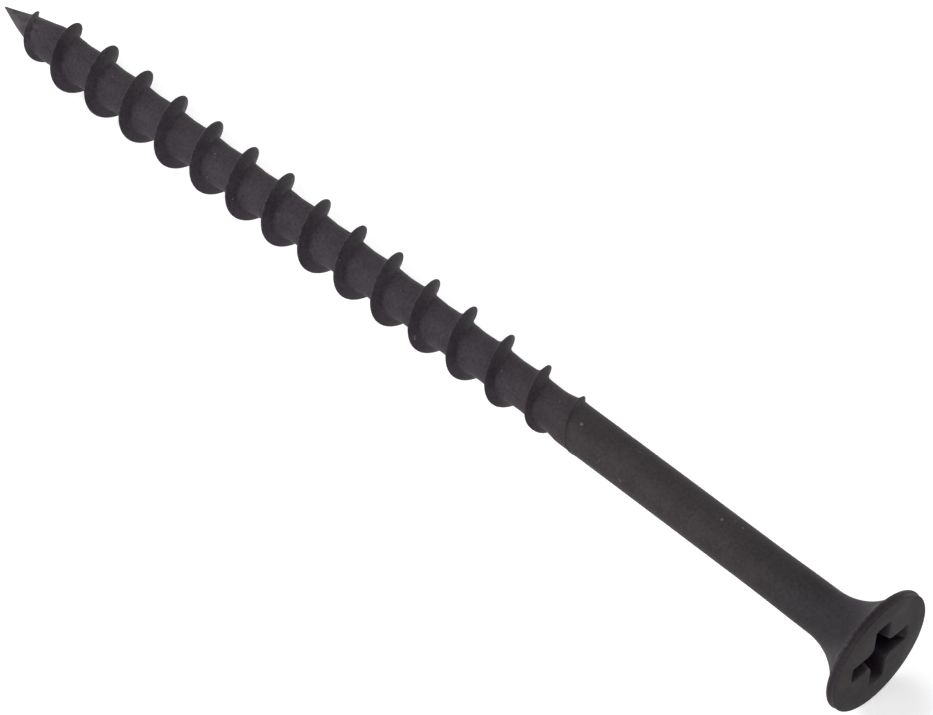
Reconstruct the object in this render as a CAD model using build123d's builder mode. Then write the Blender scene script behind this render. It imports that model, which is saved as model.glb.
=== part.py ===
from build123d import *
import math
import os

# Drywall screw with a bugle head, a cross recess and one coarse right-hand thread.
# It is forged and rolled from one length of steel wire, so it is one solid.
# It is made standing on its head with its axis on Z, and then laid down as it rests.
# All sizes are in millimetres and all angles in degrees.

screw_length = 75.3

# Head: a flat face, a short straight rim, and a trumpet curve down to the shank
head_diameter = 8.18
rim_height = 0.56
rim_chamfer = 0.08
bugle_length = 3.8

# Plain shank with a slightly thicker neck, and the step down to the core under the thread
neck_diameter = 3.08
neck_length = 5.0
shank_diameter = 2.97
shank_step = 1.6
core_diameter = 2.64

# Pinched point: a steep cone at the tip, and a slimmer one that runs into the core
tip_half_angle = 18.0
tip_length = 2.4
point_length = 4.8

# Thread: a pointed ridge, counted in turns from the shank to the point
thread_pitch = 3.21
thread_on_shank = 1.18
runout_turns = 3.5
full_turns = 10.0
entry_turns = 2.15
thread_start = 1.95
crest_diameter = 4.38
crest_diameter_at_shank = 3.08
crest_diameter_in_runout = 4.05
crest_diameter_in_entry = 4.12
crest_diameter_at_point = 1.8
flank_angle = 28.0
ridge_sink = 0.2

# Cross recess for a number 2 driver
recess_span = 4.9
recess_wing_width = 1.22
recess_corner_chamfer = 0.35
recess_wing_slope = 26.5
recess_wall_draft = 5.75
recess_bottom_diameter = 2.3
recess_bottom_dip = 0.45
recess_turn = 34.5

# How it lies: the last turns of thread begin this far round from the floor
resting_turn = 119.9

# The seam of the turned blank lies well away from where the stretches of thread meet
seam_turn = 155.0

head_radius = head_diameter / 2
face_radius = head_radius - rim_chamfer
neck_radius = neck_diameter / 2
shank_radius = shank_diameter / 2
core_radius = core_diameter / 2
crest_radius = crest_diameter / 2
tip_radius = tip_length * math.tan(math.radians(tip_half_angle))

# The thread ends near the point, so its length sets how long the plain shank is
thread_turns = runout_turns + full_turns + entry_turns
entry_turn = runout_turns + full_turns
thread_end = screw_length - thread_start - thread_turns * thread_pitch
entry_start = thread_end + entry_turn * thread_pitch
shank_end = thread_end + thread_on_shank

# The turned outline of the blank: head, shank, core and point
with BuildPart() as blank:
    with BuildSketch(Plane.XZ):
        with BuildLine():
            bugle_end = (neck_radius, rim_height + bugle_length)
            bugle = TangentArc(bugle_end, (head_radius, rim_height), tangent=(0, -1))
            Polyline(bugle @ 1, (head_radius, rim_chamfer), (face_radius, 0), (0, 0), (0, screw_length))
            Polyline(
                (0, screw_length),
                (tip_radius, screw_length - tip_length),
                (core_radius, screw_length - point_length),
                (core_radius, shank_end + shank_step),
                (shank_radius, shank_end),
                (shank_radius, rim_height + bugle_length + neck_length),
                bugle_end,
            )
        make_face()
    revolve(axis=Axis.Z)


def curve_through(start, middle, end, share):
    """Value at a share of the way along the smooth curve through three evenly spaced values."""
    return start + share * (4 * middle - 3 * start - end) + 2 * share**2 * (start - 2 * middle + end)


def crest_at(turn):
    """Radius of the crest, at a number of turns from the shank."""
    if turn < runout_turns:
        return curve_through(*runout_crests, turn / runout_turns)
    if turn > entry_turn:
        return curve_through(*entry_crests, (turn - entry_turn) / entry_turns)
    return crest_radius


def root_at(turn):
    """Radius of the ridge's hidden root, which stays inside the core and follows it to the point."""
    if turn > entry_turn:
        return curve_through(*entry_roots, (turn - entry_turn) / entry_turns)
    return root_radius


def thread_ridge(first, last):
    """One stretch of the rolled ridge, from one turn to another, swept through three outlines."""
    turns = last - first
    start = thread_end + first * thread_pitch
    with BuildLine() as route:
        Helix(pitch=thread_pitch, height=turns * thread_pitch, radius=crest_radius, center=(0, 0, start))
    helix = route.line.edges()[0]
    with BuildPart() as ridge:
        for share in (0, 0.5, 1):
            crest = crest_at(first + turns * share)
            root = root_at(first + turns * share)
            half_root = (crest - root) * math.tan(math.radians(flank_angle))
            outwards = Vector(1, 0, 0).rotate(Axis.Z, 360 * turns * share)
            foot = helix @ share - outwards * crest_radius
            with BuildSketch(Plane(origin=foot, x_dir=outwards, z_dir=helix % share)):
                with BuildLine():
                    Polyline((root, -half_root), (crest, 0), (root, half_root), close=True)
                make_face()
        sweep(path=helix, is_frenet=True, multisection=True)
    return ridge.part.rotate(Axis.Z, 360 * (first - entry_turn))


root_radius = core_radius - ridge_sink
core_to_tip = (core_radius - tip_radius) / (point_length - tip_length)
core_radius_at_start = tip_radius + (thread_start - tip_length) * core_to_tip
root_radius_at_start = core_radius_at_start - ridge_sink
runout_crests = (crest_diameter_at_shank / 2, crest_diameter_in_runout / 2, crest_radius)
entry_crests = (crest_radius, crest_diameter_in_entry / 2, crest_diameter_at_point / 2)
entry_roots = (root_radius, root_radius, root_radius_at_start)

# The punch that forms the recess: four wings with drafted walls, cut back by its own cone
wing_depth = (recess_span - recess_bottom_diameter) / 2 / math.tan(math.radians(recess_wing_slope))
recess_depth = wing_depth + recess_bottom_dip
wing_narrowing = 2 * recess_depth * math.tan(math.radians(recess_wall_draft))
with BuildPart() as punch:
    for height, width in ((0, recess_wing_width), (recess_depth, recess_wing_width - wing_narrowing)):
        with BuildSketch(Plane.XY.offset(height)) as wings:
            Rectangle(head_diameter, width, rotation=recess_turn)
            Rectangle(width, head_diameter, rotation=recess_turn)
            inner_corners = wings.vertices().sort_by_distance((0, 0))[:4]
            chamfer(inner_corners, recess_corner_chamfer)
    loft(ruled=True)
    with BuildSketch(Plane.XZ):
        with BuildLine():
            Polyline(
                (0, 0),
                (recess_span / 2, 0),
                (recess_bottom_diameter / 2, wing_depth),
                (0, recess_depth),
                close=True,
            )
        make_face()
    revolve(axis=Axis.Z, mode=Mode.INTERSECT)

# The thread in four stretches: the run-out, the full turns, and two in which it falls to the point
stops = (0, runout_turns, entry_turn, (entry_turn + thread_turns) / 2, thread_turns)
with BuildPart() as upright:
    add(blank.part, rotation=(0, 0, seam_turn))
    for first, last in zip(stops, stops[1:]):
        add(thread_ridge(first, last))
    add(punch.part, mode=Mode.SUBTRACT)

# Laid on a floor, it touches it with the back of its rim and with one crest near the point
low_turn = resting_turn / 360
low_crest_radius = curve_through(*entry_crests, low_turn / entry_turns)
low_crest_height = entry_start + thread_pitch * low_turn
rest_slope = math.atan((head_radius - low_crest_radius) / (low_crest_height - rim_height))
to_point = Vector(-math.cos(rest_slope), 0, -math.sin(rest_slope))
to_floor = Vector(math.sin(rest_slope), 0, -math.cos(rest_slope))
to_thread_start = to_floor.rotate(Axis((0, 0, 0), to_point), -resting_turn)
face_center = Vector(
    (screw_length * math.cos(rest_slope) - face_radius * math.sin(rest_slope)) / 2,
    0,
    head_radius * math.cos(rest_slope) + rim_height * math.sin(rest_slope),
)

with BuildPart(Plane(origin=face_center, x_dir=to_thread_start, z_dir=to_point)) as screw:
    add(upright.part)
screw.part.label = "screw"

os.makedirs("parts", exist_ok=True)
export_step(screw.part, "parts/screw.step")
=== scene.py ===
# %% [markdown]
# A drywall screw, dressed for its portrait. The screw is one piece of hardened steel wire: a machine
# forges the trumpet-shaped head and its cross recess, dies roll the thread and pinch the point, and a
# bath leaves a matt black phosphate coat. The CAD part already has these forms with sharp edges. This
# lesson builds the same screw again as one smooth skin, with rolled fillets, rounded edges, small
# dents and the mottled coat, in the place where the CAD part lies.

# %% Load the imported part
import math

import bmesh
import bpy
from mathutils import Matrix, Vector, noise


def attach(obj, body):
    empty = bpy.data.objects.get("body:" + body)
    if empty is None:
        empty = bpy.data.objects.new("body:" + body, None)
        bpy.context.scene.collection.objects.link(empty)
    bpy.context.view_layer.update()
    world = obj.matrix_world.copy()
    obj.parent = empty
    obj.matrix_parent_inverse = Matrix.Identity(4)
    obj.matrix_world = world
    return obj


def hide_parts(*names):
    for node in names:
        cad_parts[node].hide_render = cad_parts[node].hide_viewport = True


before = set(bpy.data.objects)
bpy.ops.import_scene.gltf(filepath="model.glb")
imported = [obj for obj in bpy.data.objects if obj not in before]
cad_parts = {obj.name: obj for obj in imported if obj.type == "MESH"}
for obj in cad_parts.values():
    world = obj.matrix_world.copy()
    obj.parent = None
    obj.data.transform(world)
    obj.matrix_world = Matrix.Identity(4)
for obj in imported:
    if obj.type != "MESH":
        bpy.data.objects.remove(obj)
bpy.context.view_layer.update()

# %% [markdown]
# Screws are drawn upright, with the head's face on the ground plane and the point straight up, because
# every form on them turns round one axis. All sizes here are in millimetres. The finished skin is laid
# down at the end, so nothing before that has to care about the tilt.

# %% The sizes of the screw
length = 75.3
rim_radius = 4.09
rim_height = 0.56
bugle_end = 4.36
neck_radius = 1.54
shank_radius = 1.485
core_radius = 1.32
crest_radius = 2.19
pitch = 3.21
steps = 96
print("a screw of", 2 * crest_radius, "by", length, "mm, with", steps, "steps to a full turn")


# %% [markdown]
# A spin in Blender turns a few joined points round an axis and leaves a wall behind them. Every turned
# form of the screw starts as such a chain of points, so one helper makes the chain, and others round
# its corners and turn it. Rounding the corners of a flat chain is cheaper than rounding the edges of a
# solid.

# %% Helpers for outlines
def chain(mesh, points):
    """Join the given (radius, height) points into a chain in the plane of X and Z."""
    corners = [mesh.verts.new((radius, 0, height)) for radius, height in points]
    for start, end in zip(corners, corners[1:]):
        mesh.edges.new((start, end))
    return corners


def round_off(mesh, parts, offset, segments, affect="VERTICES"):
    """Round corners or edges, starting the arc this far from each of them."""
    bmesh.ops.bevel(mesh, geom=parts, affect=affect, offset=offset, offset_type="OFFSET",
                    segments=segments, profile=0.5, material=-1)


def turn_full(mesh, count):
    """Spin a chain right round the axis in a number of steps, and merge the seam."""
    bmesh.ops.spin(mesh, geom=mesh.verts[:] + mesh.edges[:], cent=(0, 0, 0), axis=(0, 0, 1),
                   dvec=(0, 0, 0), angle=math.tau, steps=count, use_merge=True)


# %% [markdown]
# Many operators work on a list of points, edges and faces together, and give such a mixed list back.
# Three small helpers make the list for a whole mesh and pick the points or the edges out of a result.

# %% Helpers for parts of a mesh
def everything(mesh):
    """All points, edges and faces of a mesh."""
    return mesh.verts[:] + mesh.edges[:] + mesh.faces[:]


def points_in(parts):
    """The points among the parts that an operator gave back."""
    return [part for part in parts if isinstance(part, bmesh.types.BMVert)]


def edges_in(parts):
    """The edges among the parts that an operator gave back."""
    return [part for part in parts if isinstance(part, bmesh.types.BMEdge)]


# %% [markdown]
# The thread is a ridge that a die squeezes out of the wire, so its two flanks rise from the core in
# small fillets and meet in a narrow round crest. The groove between two turns is a little hollow,
# because the metal of the ridge came from there. The outline of one pitch holds all of this. Its long
# straight lines are cut in four, so that they can follow the wire's shape later.

# %% Outline of one pitch
foot = 0.42
foot_rounding = 0.22
crest_half = 0.04
crest_rounding = 0.037
hollow = 0.04
long_line = 0.7
groove_floor = core_radius - hollow
flank_foot = core_radius + hollow / 2

screw = bmesh.new()
outline = chain(screw, [(groove_floor, -pitch / 2), (flank_foot, -foot),
                        (crest_radius, -crest_half), (crest_radius, crest_half),
                        (flank_foot, foot), (groove_floor, pitch / 2)])
round_off(screw, [outline[1], outline[4]], foot_rounding, 5)
round_off(screw, [v for v in screw.verts if v.co.x > crest_radius - 0.001], crest_rounding, 3)
long_lines = [e for e in screw.edges if e.calc_length() > long_line]
bmesh.ops.subdivide_edges(screw, edges=long_lines, cuts=3)
print("outline of one pitch:", len(screw.verts), "points")

# %% [markdown]
# A screw modifier could draw the thread too, but it can't fade the ridge in and out. Here one turn is
# spun from the outline while it climbs by a pitch. Copies of it are stacked up the wire, and the seams
# are merged. The strip runs over both ends of the thread by a turn, to be trimmed later. Turns are
# counted from where the ridge leaves the shank: it grows until the fourth, is full until the
# fourteenth, and then falls away on the point.

# %% Roll the thread
bare_point = 1.95
full_from = 4
full_to = 14
fall_turns = 2.15
thread_turns = full_to + fall_turns
ridge_start = length - bare_point - thread_turns * pitch

bmesh.ops.spin(screw, geom=screw.verts[:] + screw.edges[:], cent=(0, 0, 0), axis=(0, 0, 1),
               dvec=(0, 0, pitch / steps), angle=math.tau, steps=steps, use_merge=False)
one_turn = everything(screw)
for turn in range(-1, math.ceil(thread_turns) + 1):
    copied = points_in(bmesh.ops.duplicate(screw, geom=one_turn)["geom"])
    bmesh.ops.translate(screw, verts=copied, vec=(0, 0, ridge_start + turn * pitch))
bmesh.ops.delete(screw, geom=one_turn, context="VERTS")
bmesh.ops.remove_doubles(screw, verts=screw.verts, dist=0.0001)
top = max(v.co.z for v in screw.verts)
print("thread strip:", len(screw.faces), "faces, up to", round(top, 2), "mm")


# %% [markdown]
# The dies don't fill the wire evenly. Near the shank the ridge grows out of nothing over four turns,
# and near the point it falls away, while the wire under it is pinched to a point. These forms are
# written as laws: short functions that give a radius for a height, or for a number of turns. They are
# built from three soft shapes, a step, a bell and a curve through three values.

# %% Soft shapes for the laws
def smooth(value, low, high):
    """From 0 at low to 1 at high, with soft ends."""
    share = min(max((value - low) / (high - low), 0), 1)
    return share * share * (3 - 2 * share)


def bell(value, middle, width):
    """A soft bump of height 1 round a middle."""
    return math.exp(-((value - middle) / width) ** 2)


def through(start, middle, end, share):
    """The smooth curve through three evenly spaced values, at a share of the way along."""
    share = min(max(share, 0), 1)
    bend = 2 * share ** 2 * (start - 2 * middle + end)
    return start + share * (4 * middle - 3 * start - end) + bend


# %% [markdown]
# The wire steps down from the shank to the core just above the start of the thread. At its other end
# two cones make the point: a steep one at the tip, and a slimmer one that runs into the core. Where
# two of these forms meet, the smaller radius wins, with a soft corner, as pinched metal has.

# %% Law for the wire
shank_end = ridge_start + 2.78
core_start = shank_end + 1.6
steep_slope = math.tan(math.radians(18))
slim_slope = 0.225
cones_meet = 2.4
radius_there = 0.78
least_radius = 0.01


def smaller(first, second, softness=0.05):
    """The smaller of two radii, with a soft corner where they cross."""
    return (first + second - math.sqrt((first - second) ** 2 + softness ** 2)) / 2


def wire_radius(height):
    """Radius of the wire under the thread, with the pinched point."""
    left = length - height
    body = shank_radius + (core_radius - shank_radius) * smooth(height, shank_end, core_start)
    cone = smaller(left * steep_slope, radius_there + (left - cones_meet) * slim_slope)
    return max(smaller(cone, body), least_radius)


print("wire at 20, 40, 72 and 74 mm:", [round(wire_radius(h), 3) for h in (20, 40, 72, 74)])

# %% [markdown]
# The crest has laws of its own. It rises and falls along curves that were fitted to the real one, it
# is knocked in at three places, and it wavers by a hundredth of a millimetre. Near both ends of the
# thread the dies held the wire a little off centre, so the crest stands higher on one side there. Each
# dent or shift is a bell with its middle in turns, its size in millimetres and its width in turns.

# %% Laws for the crest
rise_from = 0.5
rise = (1.54, 2.025, crest_radius)
fall = (crest_radius, 1.98, 0.9)
dents = [(1.5, 0.06, 0.07), (16.03, 0.1, 0.018), (3.8, 0.055, 1.5)]
shifts = [(3.2, 0.065, 2), (15, 0.03, 1.5)]
waver = 0.012


def crest_height(turn):
    """Radius of the crest, counted in turns from where the ridge leaves the shank."""
    if turn < full_from:
        law = through(*rise, (turn - rise_from) / (full_from - rise_from))
    elif turn > full_to:
        law = through(*fall, (turn - full_to) / fall_turns)
    else:
        law = crest_radius
    dent = sum(depth * bell(turn, middle, width) for middle, depth, width in dents)
    return law - dent + waver * noise.noise(Vector((turn * 4, 0, 0)))


def ridge_height(turn, angle):
    """Height of the ridge over the wire, which fades to nothing at both of its ends."""
    off_centre = sum(size * bell(turn, middle, width) for middle, size, width in shifts)
    crest = crest_height(turn) + off_centre * math.cos(angle)
    fade_in = smooth(turn, 0.1, 0.6)
    fade_out = 1 - smooth(turn, thread_turns - 0.06, thread_turns + 0.02)
    wire = wire_radius(ridge_start + turn * pitch)
    return max(crest - wire, 0) * (fade_in * fade_out)


print("crest at 1, 3, 9 and 16 turns:", [round(crest_height(t), 3) for t in (1, 3, 9, 16)])

# %% [markdown]
# Two more things follow the ridge. A low ridge is also a narrow one, and it is thinnest where it
# starts, near the point. And the wire slipped a little in the dies: the turns in the middle sit
# slightly nearer to the head, and the one on the shank slightly nearer to the point. The end of the
# ridge near the point stands up as a small thin burr that leans towards the head.

# %% Laws for the ridge's width and place
narrowest = 0.3
widest = 1.04
burr_thinning = 0.35
burr_lean = 0.16
middle_slip = 0.115
shank_slip = 0.2


def ridge_width(turn, height):
    """Width of the ridge, as a share of its full width."""
    full = height / (crest_radius - core_radius)
    thinning = burr_thinning * smooth(turn, thread_turns - 0.5, thread_turns)
    return min(max(math.sqrt(full), narrowest), widest) * (1 - thinning)


def slipped(climb, turn, share):
    """Where a point ends up along the wire after it slipped, by its share of the ridge's height."""
    climb -= burr_lean * max(share, 0) * smooth(turn, thread_turns - 0.35, thread_turns)
    climb -= middle_slip * bell(climb, 50, 11)
    climb += shank_slip * (1 - smooth(turn, 0.7, 1.6)) * smooth(turn, -0.5, 0.5)
    return climb


print("the middle turns slip by", round(50 - slipped(50, 9, 0), 3), "mm")

# %% [markdown]
# Now each point of the strip is moved. Its angle and height say how many turns up it is and how far it
# stands from the middle of the ridge. Its share of the ridge's height stays as it was, and the laws
# give the wire and the crest that it stands between. Points beyond the ridge's foot belong to the
# groove, and blend from one turn's laws to the next.

# %% Fade the ridge in and out, and pinch the point
for v in screw.verts:
    radius = math.hypot(v.co.x, v.co.y)
    angle = math.atan2(v.co.y, v.co.x) % math.tau
    turn = round((v.co.z - ridge_start) / pitch - angle / math.tau) + angle / math.tau
    place = v.co.z - ridge_start - turn * pitch
    beyond = max((abs(place) - foot) / (pitch / 2 - foot), 0)
    here = turn + beyond * place / pitch
    share = (radius - core_radius) / (crest_radius - core_radius)
    height = ridge_height(here, angle)
    width = ridge_width(here, height)
    if beyond:
        place = math.copysign(foot * width + beyond * (pitch / 2 - foot * width), place)
    else:
        place = place * width
    climb = ridge_start + turn * pitch + place
    radius = wire_radius(climb) + share * height
    v.co = (radius * math.cos(angle), radius * math.sin(angle), slipped(climb, here, share))
reached = max(math.hypot(v.co.x, v.co.y) for v in screw.verts)
print("thread now reaches", round(reached, 3), "mm from the axis")

# %% [markdown]
# Two flat cuts trim the strip: one through the plain wire below the thread, and one just short of the
# point, where the last ring of points is drawn together to close it. That leaves the tip a little
# blunt, as on a screw that has rattled about in its box.

# %% Trim the strip and close the point
shank_cut = 20.9
point_cut = length - 0.25
tip_end = length - 0.07


def cut_level(mesh, parts, height, **side):
    """Cut parts of a mesh level at a height, perhaps clear one side, and give the new edges."""
    cut = bmesh.ops.bisect_plane(mesh, geom=parts, dist=0.00001, plane_co=(0, 0, height),
                                 plane_no=(0, 0, 1), **side)
    return edges_in(cut["geom_cut"])


thread_ring = cut_level(screw, everything(screw), shank_cut, clear_inner=True)
tip_ring = cut_level(screw, everything(screw), point_cut, clear_outer=True)
tip_points = points_in(bmesh.ops.extrude_edge_only(screw, edges=tip_ring)["geom"])
bmesh.ops.pointmerge(screw, verts=tip_points, merge_co=(0, 0, tip_end))
print("rings:", len(thread_ring), "edges at the shank,", len(tip_ring), "at the point")

# %% [markdown]
# The head and the plain shank are one turned form. The outline runs from the cut down the shank, which
# swells a little towards the neck, and round the trumpet curve to the rim. That curve is an arc that
# leaves the neck straight along it, so its radius follows from how far it goes down and out.

# %% Outline of the shank and the trumpet curve
pieces = 24
shank_top = shank_cut - 0.4
neck_end = bugle_end + 5
bugle_drop = bugle_end - rim_height
bugle_reach = rim_radius - neck_radius
bugle_radius = (bugle_drop ** 2 + bugle_reach ** 2) / (2 * bugle_reach)
bugle_middle = neck_radius + bugle_radius
bugle_angle = math.acos((bugle_middle - rim_radius) / bugle_radius)

shank_points = []
for number in range(pieces):
    height = shank_top - number * (shank_top - bugle_end) / pieces
    swell = smooth(height, bugle_end, neck_end)
    shank_points.append((neck_radius + (shank_radius - neck_radius) * swell, height))
curve_points = []
for number in range(pieces):
    angle = bugle_angle * number / pieces
    curve_points.append((bugle_middle - bugle_radius * math.cos(angle),
                         bugle_end - bugle_radius * math.sin(angle)))
curve_points.append((rim_radius, rim_height))
print("trumpet curve of", round(bugle_radius, 2), "mm radius")

# %% [markdown]
# The outline ends over the short rim and a little way in over the flat face, where the recess will
# open. A forging die leaves a fine line round the rim where the face was struck, so there is a shallow
# groove there. The spin takes as many steps as the thread's lower ring has edges, so that the two rings
# can be bridged edge by edge.

# %% Turn the head and the shank
mouth_radius = 2.9
rim_rounding = 0.1
small_rounding = 0.02
groove_depth = 0.06
groove_radius = rim_radius - groove_depth
rim_points = [(rim_radius, 0.39), (groove_radius, 0.33), (groove_radius, 0.13),
              (rim_radius - 0.04, 0.07), (rim_radius - 0.1, 0.0), (mouth_radius, 0.0)]

head = bmesh.new()
turned = chain(head, shank_points + curve_points + rim_points)
round_off(head, [turned[len(shank_points) + pieces]], rim_rounding, 4)
small_corners = [v for v in head.verts if v.co.x > mouth_radius + 0.1 and v.co.z < 0.4]
round_off(head, small_corners, small_rounding, 2)
turn_full(head, len(thread_ring))
print("head and shank:", len(head.faces), "faces")

# %% [markdown]
# The head joins the thread in one mesh, and a bridge closes the gap between their rings. The only edges
# left open then are those round the middle of the face. They get one flat face, so that the skin is
# closed and a Boolean can tell its inside from its outside.

# %% Join the head to the thread
turned_mesh = bpy.data.meshes.new("head")
head.to_mesh(turned_mesh)
head.free()
screw.from_mesh(turned_mesh)
bpy.data.meshes.remove(turned_mesh)


def open_ring(mesh, height):
    """The open edges at one height."""
    return [e for e in mesh.edges
            if e.is_boundary and all(abs(v.co.z - height) < 0.0001 for v in e.verts)]


def in_scene(mesh, name):
    """Turn a bmesh into an object of the scene, with its faces turned outwards."""
    bmesh.ops.recalc_face_normals(mesh, faces=mesh.faces)
    data = bpy.data.meshes.new(name)
    mesh.to_mesh(data)
    mesh.free()
    made = bpy.data.objects.new(name, data)
    bpy.context.scene.collection.objects.link(made)
    return made


bmesh.ops.bridge_loops(screw, edges=open_ring(screw, shank_cut) + open_ring(screw, shank_top))
face_ring = open_ring(screw, 0)
bmesh.ops.contextual_create(screw, geom=face_ring)
open_edges = sum(e.is_boundary for e in screw.edges)
print("face closed inside", len(face_ring), "edges, open edges", open_edges)
body = in_scene(screw, "screw_skin")

# %% [markdown]
# The recess is struck by a punch with four tapered wings and a blunt cone at its end. The wings' sides
# lean in by a few degrees, and their ends slope, which is why a driver tends to slip out. The wings
# start as a flat grid of nine squares. Without its four corner squares it is a cross, whose inner
# corners are rounded. The cross is then drawn down and made narrower at the bottom.

# %% Wings of the punch
recess_turn = math.radians(34.5)
recess_span = 4.9
wing_width = 1.22
wing_reach = 3
inner_rounding = 0.5
bottom_radius = 1.15
wing_depth = (recess_span / 2 - bottom_radius) / math.tan(math.radians(26.5))
recess_depth = wing_depth + 0.45
wing_draft = math.tan(math.radians(5.75))
above_face = 0.5
below_floor = 0.5
punch_height = recess_depth + above_face + below_floor

cross = bmesh.new()
bmesh.ops.create_grid(cross, x_segments=3, y_segments=3, size=wing_reach)
for v in cross.verts:
    for axis in (0, 1):
        reach = wing_width / 2 if abs(v.co[axis]) < 2 else wing_reach
        v.co[axis] = math.copysign(reach, v.co[axis])
corners = [f for f in cross.faces if min(abs(c) for c in f.calc_center_median().xy) > 1]
bmesh.ops.delete(cross, geom=corners, context="FACES")
bmesh.ops.dissolve_faces(cross, faces=cross.faces[:])
round_off(cross, [v for v in cross.verts if v.co.xy.length < 1], inner_rounding, 6)
bmesh.ops.translate(cross, verts=cross.verts, vec=(0, 0, -above_face))
bottom = points_in(bmesh.ops.extrude_face_region(cross, geom=cross.faces[:])["geom"])
bmesh.ops.translate(cross, verts=bottom, vec=(0, 0, punch_height))
top_width = wing_width + 2 * above_face * wing_draft
bottom_width = top_width - 2 * punch_height * wing_draft
top = [v for v in cross.verts if v.co.z < 0]
for ring, width in ((top, top_width), (bottom, bottom_width)):
    share = width / wing_width
    bmesh.ops.scale(cross, verts=ring, vec=(share, share, 1))
bmesh.ops.rotate(cross, verts=cross.verts, cent=(0, 0, 0),
                 matrix=Matrix.Rotation(recess_turn, 3, "Z"))
punch = in_scene(cross, "punch")
print("wings", round(wing_width, 2), "mm wide at the face,", round(recess_depth, 2), "mm deep")

# %% [markdown]
# On the real punch a grinding wheel cuts the wings back to a cone, and a blunter cone ends it. Here
# both are one turned form, and a Boolean keeps what lies in it and in the wings.

# %% Cone of the punch
def boolean(target, tool, operation):
    """Apply a Boolean to the target's mesh and throw the tool away."""
    cut = target.modifiers.new("cut", "BOOLEAN")
    cut.operation = operation
    cut.solver = "EXACT"
    cut.object = tool
    graph = bpy.context.evaluated_depsgraph_get()
    result = bpy.data.meshes.new_from_object(target.evaluated_get(graph))
    target.modifiers.clear()
    target.data = result
    bpy.data.objects.remove(tool)


spread = above_face * (recess_span / 2 - bottom_radius) / wing_depth
spike = bmesh.new()
chain(spike, [(0, -above_face), (recess_span / 2 + spread, -above_face),
              (bottom_radius, wing_depth), (0, recess_depth)])
turn_full(spike, steps)
bmesh.ops.remove_doubles(spike, verts=spike.verts, dist=0.0001)
boolean(punch, in_scene(spike, "cone"), "INTERSECT")
print("punch:", len(punch.data.polygons), "faces")

# %% [markdown]
# The punch is taken out of the head, and the edges of the mouth are eased, as the coat and the driver
# ease them. Three level cuts through the walls give the coat points on which painted shade can darken
# it with depth.

# %% Strike the recess
mouth_rounding = 0.09
wall_cuts = (0.25, 0.6, 1.2)

boolean(body, punch, "DIFFERENCE")
worked = bmesh.new()
worked.from_mesh(body.data)
bmesh.ops.remove_doubles(worked, verts=worked.verts, dist=0.0001)
mouth = [e for e in worked.edges
         if all(abs(v.co.z) < 0.001 and v.co.xy.length < recess_span / 2 + 0.15 for v in e.verts)]
round_off(worked, mouth, mouth_rounding, 3, affect="EDGES")
for depth in wall_cuts:
    walls = [f for f in worked.faces
             if f.calc_center_median().xy.length < recess_span / 2
             and any(v.co.z > 0.1 for v in f.verts)
             and all(v.co.z < recess_depth + 0.1 for v in f.verts)]
    wall_edges = list(dict.fromkeys(e for f in walls for e in f.edges))
    wall_points = list(dict.fromkeys(v for f in walls for v in f.verts))
    cut_level(worked, wall_edges + wall_points + walls, depth)
open_edges = sum(e.is_boundary for e in worked.edges)
print("recess struck:", len(mouth), "edges at its mouth, open edges", open_edges)

# %% [markdown]
# Each point now gets a few marks for the coat to use later: how far up the ridge it is, how near the
# point, how far into the rolled part, how deep it lies in the recess, which carries painted shade, and
# how near the head, which carries painted shade too. A mark is a named number on every point, which the
# material reads back as an attribute. The mouth of the recess and the rim's corner are marked pale like
# a crest, partly as wear and partly as a painted highlight, and the groove round the rim gets the
# painted shade of a shallow recess.

# %% Marks for the coat
mark_names = ("crest", "point", "rolled", "recess", "head_shade")
crest_mark, point_mark, rolled_mark, recess_shade_mark, head_shade_mark = [
    worked.verts.layers.float.new(name) for name in mark_names]
for v in worked.verts:
    height, radius = v.co.z, v.co.xy.length
    v[point_mark] = smooth(height, length - 6, length - 2)
    v[rolled_mark] = smooth(height, 21, 33)
    # Painted shade near the head: full from 1 to 3 mm up, gone by 15 mm, and half as strong on the
    # face.
    v[head_shade_mark] = (1 - smooth(height, 3, 15)) * (0.5 + 0.5 * smooth(height, 0, 1))
    if height > shank_cut:
        v[crest_mark] = (radius - wire_radius(height)) / (crest_radius - core_radius)
    in_recess = height < recess_depth and radius < recess_span / 2 + 0.1 - height * 0.5
    in_groove = 0.1 < height < 0.35 and groove_radius - 0.01 < radius < groove_radius + 0.02
    on_rim_corner = 0.44 < height < 0.7 and radius > rim_radius - 0.12
    # Painted shade in the recess, growing with depth.
    if in_recess:
        v[recess_shade_mark] = smooth(height, 0.05, 0.6)
    # Partly wear and partly a painted highlight on the inner corners of the recess's mouth.
    if in_recess and height < mouth_rounding and radius < 1.45:
        v[crest_mark] = 0.95
    # Painted shade in the groove round the rim.
    if in_groove:
        v[recess_shade_mark] = 0.6
    # Partly wear and partly a painted highlight on the rim's corner.
    if on_rim_corner:
        v[crest_mark] = 1
print("marks on", len(worked.verts), "points:", ", ".join(mark_names))

# %% [markdown]
# The wire was never quite straight, and the heat treatment bent it a little more, so the finished screw
# has a slight bow, and its tip is bent by the cut that parted it from its slug. Then the screw is laid
# down on its rim and one crest, as the CAD part lies, and brought to metres.

# %% Bow the screw and lay it down
bow = 0.23
tip_bend = Vector((0.1, -0.053, 0))
bent_length = 3
for v in worked.verts:
    along = v.co.z / length
    v.co.x += bow * 4 * along * (1 - along)
    v.co += tip_bend * max(1 - (length - v.co.z) / bent_length, 0) ** 2

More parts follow.
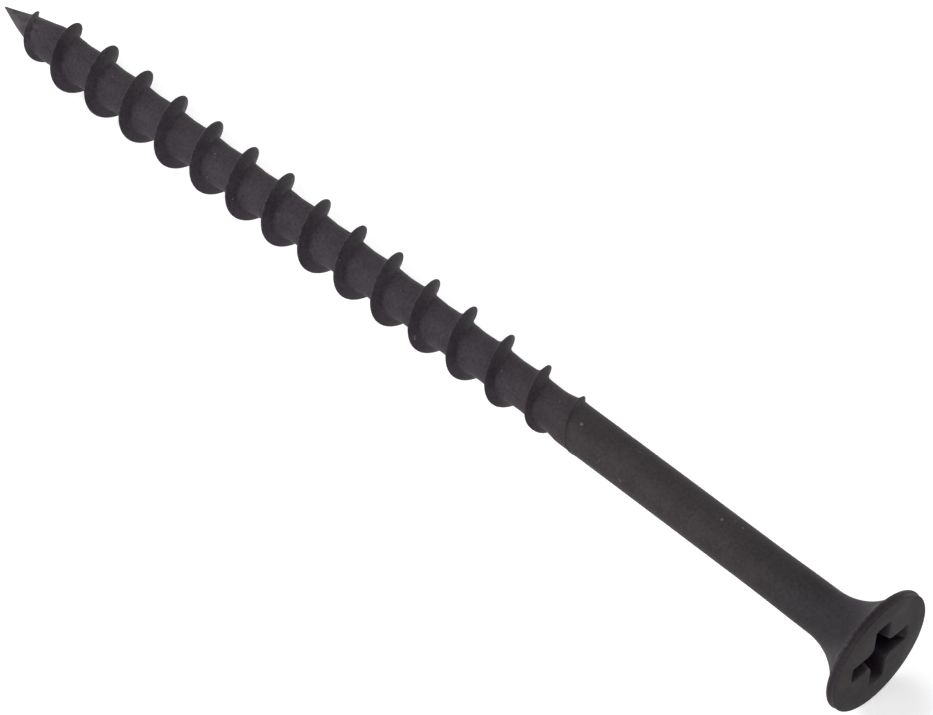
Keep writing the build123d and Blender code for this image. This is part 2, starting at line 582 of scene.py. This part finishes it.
slope = math.radians(1.565677)
face_center = Vector((37.58116, 0, 4.10377))
to_point = Vector((-math.cos(slope), 0, -math.sin(slope)))
to_floor = Vector((math.sin(slope), 0, -math.cos(slope)))
to_thread_start = Matrix.Rotation(math.radians(-119.9), 3, to_point) @ to_floor
lay = Matrix((to_thread_start, to_point.cross(to_thread_start), to_point)).transposed().to_4x4()
lay.translation = face_center
bmesh.ops.transform(worked, matrix=Matrix.Scale(0.001, 4) @ lay, verts=worked.verts)
bmesh.ops.recalc_face_normals(worked, faces=worked.faces)
worked.to_mesh(body.data)
worked.free()
print("laid down at", round(math.degrees(slope), 2), "degrees, with a bow of", bow, "mm")

# %% [markdown]
# Round forms are shaded smooth, and true edges, such as those of the recess, stay sharp. The head's
# flat face borders on narrow rounded edges, which would bend the light on it, so a modifier lets the
# large faces decide how the light falls at each point.

# %% Shade the skin
for face in body.data.polygons:
    face.use_smooth = True
body.data.set_sharp_from_angle(angle=math.radians(38))
evened = body.modifiers.new("even_shading", "WEIGHTED_NORMAL")
evened.keep_sharp = True
print("skin:", len(body.data.polygons), "faces")

# %% [markdown]
# Phosphate is a layer of tiny crystals that holds a film of oil. It is matt and nearly black, but never
# even: it grows in cloudy patches and has a fine grain. All of this is drawn by noise in the coat
# itself, on the screw's own coordinates, so it stays on the screw from every side and needs no picture.
# Three helpers make the nodes. They add to whichever node tree was opened last.

# %% A coat and its noises
def open_tree(owner):
    """Turn on the nodes of a material or a world, and give its nodes and links."""
    owner.use_nodes = True
    return owner.node_tree.nodes, owner.node_tree.links


def noise_of(scale, detail, stretch=(1, 1, 1)):
    """Noise on the screw's own coordinates, in waves per metre."""
    size = nodes.new("ShaderNodeMapping")
    size.inputs["Scale"].default_value = stretch
    links.new(place.outputs["Object"], size.inputs["Vector"])
    made = nodes.new("ShaderNodeTexNoise")
    made.inputs["Scale"].default_value = scale
    made.inputs["Detail"].default_value = detail
    links.new(size.outputs["Vector"], made.inputs["Vector"])
    return made.outputs["Fac"]


def between(value, low, high, to_low=0.0, to_high=1.0):
    """Map a value from one span to another and stop at its ends."""
    span = nodes.new("ShaderNodeMapRange")
    span.inputs["From Min"].default_value = low
    span.inputs["From Max"].default_value = high
    span.inputs["To Min"].default_value = to_low
    span.inputs["To Max"].default_value = to_high
    links.new(value, span.inputs["Value"])
    return span.outputs["Result"]


def combine(operation, first, second):
    """One sum on two values, of which the second may be a plain number."""
    made = nodes.new("ShaderNodeMath")
    made.operation = operation
    links.new(first, made.inputs[0])
    if isinstance(second, float):
        made.inputs[1].default_value = second
    else:
        links.new(second, made.inputs[1])
    return made.outputs[0]


coat = bpy.data.materials.new("black_phosphate")
nodes, links = open_tree(coat)
shader = nodes["Principled BSDF"]
place = nodes.new("ShaderNodeTexCoord")
patch_waves = 650
grain_waves = 5200
patches = noise_of(patch_waves, 3)
grain = noise_of(grain_waves, 2)
streaks = noise_of(3000, 2, (0.12, 1, 1))
specks = between(noise_of(2800, 1), 0.77, 0.8)
print("patches of", round(1000 / patch_waves, 1), "mm, grain of", round(1000 / grain_waves, 1), "mm")


# %% [markdown]
# A few light flecks show where a clump of crystals has broken off. Noise gives the small ones all over
# the screw. The five on the plain shank are easy to see, so each has a place of its own and fades out
# at a distance from it.

# %% Where crystals broke off
def fleck(along, across, up, size):
    """One pale fleck on the screw, placed in millimetres on Object coordinates."""
    made = nodes.new("ShaderNodeVectorMath")
    made.operation = "DISTANCE"
    made.inputs[1].default_value = (along / 1000, across / 1000, up / 1000)
    links.new(place.outputs["Object"], made.inputs[0])
    return between(made.outputs["Value"], size / 1000, size / 2000)


flecks = [(14.317, -0.318, 4.968, 0.13), (25.189, 0.09, 5.313, 0.12), (26.47, 0.503, 5.287, 0.09),
          (18.287, 0.497, 5.108, 0.07), (12.184, 0.057, 4.86, 0.06)]
broken = specks
for along, across, up, size in flecks:
    broken = combine("MAXIMUM", broken, fleck(along, across, up, size))
print(len(flecks), "flecks on the plain shank")


# %% [markdown]
# The coat starts from two dark tones that the noises mix. The rolled part is a little more violet.
# Painted shade makes the part near the head darker, and the recess and the groove round the rim the
# darkest. Where screws rub against each other in the box, the crests go a little paler, and the bare
# tip most of all, in streaks along it; at the recess's mouth and the rim's corner this paleness is
# partly a painted highlight. Each of these is one tint over the last, laid on where a mark or a noise
# says so.

# %% Colours of the coat
def mark(name):
    """One of the marks that the screw's points carry."""
    made = nodes.new("ShaderNodeAttribute")
    made.attribute_name = name
    return made.outputs["Fac"]


def tinted(colour, mask, tint, blend="MIX"):
    """Mix a tint into a colour where a mask says so."""
    made = nodes.new("ShaderNodeMix")
    made.data_type = "RGBA"
    made.blend_type = blend
    made.inputs["B"].default_value = (*tint, 1)
    links.new(mask, made.inputs["Factor"])
    links.new(colour, made.inputs["A"])
    return made.outputs["Result"]


cloud = combine("ADD", combine("MULTIPLY", patches, 0.55), combine("MULTIPLY", grain, 0.45))
tones = nodes.new("ShaderNodeValToRGB")
dark, light = tones.color_ramp.elements
dark.position, dark.color = 0.38, (0.0167, 0.0133, 0.0149, 1)
light.position, light.color = 0.62, (0.0306, 0.0262, 0.0280, 1)
links.new(cloud, tones.inputs["Fac"])

# Pale crests from wear; at the recess's mouth corners and the rim's corner the same paleness is partly
# a painted highlight.
wear_and_highlight = combine("MULTIPLY", between(mark("crest"), 0.86, 1.0), between(grain, 0.42, 0.62))
rubbed_point = combine("MULTIPLY", wear_and_highlight, mark("point"))
tip_rub = combine("POWER", mark("point"), 2.0)
tip_rub = combine("MULTIPLY", tip_rub, between(streaks, 0.38, 0.6, 0.1, 0.6))

colour = tinted(tones.outputs["Color"], mark("rolled"), (1.13, 1.11, 1.28), "MULTIPLY")
colour = tinted(colour, combine("MULTIPLY", broken, 0.6), (0.13, 0.115, 0.125))
colour = tinted(colour, combine("MULTIPLY", wear_and_highlight, 0.3), (0.085, 0.075, 0.082))
colour = tinted(colour, combine("MULTIPLY", rubbed_point, 0.5), (0.16, 0.15, 0.15))
# Painted shade near the head: darker and a little bluer.
colour = tinted(colour, mark("head_shade"), (0.74, 0.76, 0.8), "MULTIPLY")
colour = tinted(colour, tip_rub, (0.085, 0.076, 0.08))
# Painted shade: the recess and the rim's groove are darkened towards violet.
colour = tinted(colour, mark("recess"), (0.45, 0.3, 0.5), "MULTIPLY")
links.new(colour, shader.inputs["Base Color"])
print("the coat mixes two dark tones and seven tints")

# %% [markdown]
# The crystals scatter light, so the coat is rough, reflects little, and has a fine bump. At the point,
# where the dies pinched the wire, the bump also has streaks along the screw.

# %% Grain of the coat
shader.inputs["Specular IOR Level"].default_value = 0.1
links.new(between(patches, 0.35, 0.65, 0.52, 0.7), shader.inputs["Roughness"])
bump = nodes.new("ShaderNodeBump")
bump.inputs["Strength"].default_value = 0.5
bump.inputs["Distance"].default_value = 0.00002
pinched = combine("MULTIPLY", combine("MULTIPLY", streaks, mark("point")), 2.0)
links.new(combine("ADD", combine("ADD", grain, patches), pinched), bump.inputs["Height"])
links.new(bump.outputs["Normal"], shader.inputs["Normal"])
body.data.materials.clear()
body.data.materials.append(coat)
print("bump of", round(bump.inputs["Distance"].default_value * 1000, 3), "mm")


# %% [markdown]
# The floor is a sheet of white paper that keeps the screw's shadow. To the camera and in reflections it
# also glows a little, more so with distance, so the picture ends in plain white. The glow is hidden
# from the rays that light the screw, so it doesn't change its colour.

# %% White floor
def seen_directly():
    """One on rays from the camera and on mirrored or refracted ones, and zero on all others."""
    rays = nodes.new("ShaderNodeLightPath")
    seen = combine("MAXIMUM", rays.outputs["Is Camera Ray"], rays.outputs["Is Glossy Ray"])
    return combine("MAXIMUM", seen, rays.outputs["Is Transmission Ray"])


sheet = bmesh.new()
bmesh.ops.create_grid(sheet, x_segments=1, y_segments=1, size=3)
floor = in_scene(sheet, "floor")

white = bpy.data.materials.new("white_floor")
nodes, links = open_tree(white)
nodes.remove(nodes["Principled BSDF"])
paper = nodes.new("ShaderNodeBsdfDiffuse")
paper.inputs["Color"].default_value = (0.8, 0.8, 0.8, 1)
place = nodes.new("ShaderNodeTexCoord")
away = nodes.new("ShaderNodeVectorMath")
away.operation = "LENGTH"
links.new(place.outputs["Object"], away.inputs[0])
glow = nodes.new("ShaderNodeEmission")
links.new(between(away.outputs["Value"], 0.05, 0.2, 0.45, 1.0), glow.inputs["Strength"])
both = nodes.new("ShaderNodeAddShader")
links.new(paper.outputs[0], both.inputs[0])
links.new(glow.outputs[0], both.inputs[1])
shown = nodes.new("ShaderNodeMixShader")
links.new(seen_directly(), shown.inputs["Fac"])
links.new(paper.outputs[0], shown.inputs[1])
links.new(both.outputs[0], shown.inputs[2])
links.new(shown.outputs[0], nodes["Material Output"].inputs["Surface"])
floor.data.materials.append(white)
print("floor of", round(floor.dimensions.x, 1), "by", round(floor.dimensions.y, 1), "m")

# %% [markdown]
# The room behind the floor is white in the same way. Its own light on the screw is very weak, because
# the lamps do that work.

# %% White room
room = bpy.data.worlds.new("room")
bpy.context.scene.world = room
nodes, links = open_tree(room)
backdrop = nodes["Background"]
backdrop.inputs["Color"].default_value = (1, 1, 1, 1)
links.new(between(seen_directly(), 0, 1, 0.02, 1.0), backdrop.inputs["Strength"])
print("a white room round the floor")


# %% [markdown]
# Five square softboxes stand half a metre away and face the screw. Small things like this are lit from
# low and from all round, so that both sides of the thread show against their own shade. Each is placed
# by two angles in degrees, round from the head's side and above the floor, and has its power in watts.

# %% Lamps
lamp_size = 0.3
lamp_distance = 0.5


def softbox(name, round_from_head, above_floor, power):
    """A square lamp that faces the screw."""
    lamp = bpy.data.lights.new(name, "AREA")
    lamp.shape = "SQUARE"
    lamp.size = lamp_size
    lamp.energy = power
    made = bpy.data.objects.new(name, lamp)
    bpy.context.scene.collection.objects.link(made)
    around, raised = math.radians(round_from_head), math.radians(above_floor)
    flat = math.cos(raised)
    towards = Vector((flat * math.cos(around), flat * math.sin(around), math.sin(raised)))
    made.location = lamp_distance * towards
    made.rotation_euler = made.location.to_track_quat("Z", "Y").to_euler()


lamps = [("front", -90, 15, 1.74), ("front_beside_head", -45, 15, 1.12),
         ("front_beside_point", -135, 40, 1.6), ("behind_point", 150, 45, 1.28),
         ("behind", 70, 15, 1.66)]
for name, round_from_head, above_floor, power in lamps:
    softbox(name, round_from_head, above_floor, power)
print(len(lamps), "soft lamps of", round(sum(power for *_, power in lamps), 1), "watts together")

# %% [markdown]
# The photograph was taken from above the head's side with a long lens, and the camera stands there.

# %% Camera
lens = bpy.data.cameras.new("camera")
lens.lens = 171.49
lens.sensor_width = 36
lens.clip_start = 0.01
camera = bpy.data.objects.new("camera", lens)
bpy.context.scene.collection.objects.link(camera)
camera.location = (0.1217380, -0.1204035, 0.2150445)
camera.rotation_euler = (math.radians(38.3231), math.radians(0.0397), math.radians(44.2019))
bpy.context.scene.camera = camera
bpy.context.scene.view_settings.view_transform = "Standard"
print("camera", round(camera.location.length, 3), "m away, with a lens of", round(lens.lens), "mm")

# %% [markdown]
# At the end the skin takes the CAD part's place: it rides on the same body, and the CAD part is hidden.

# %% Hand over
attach(body, "root")
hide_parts("screw")
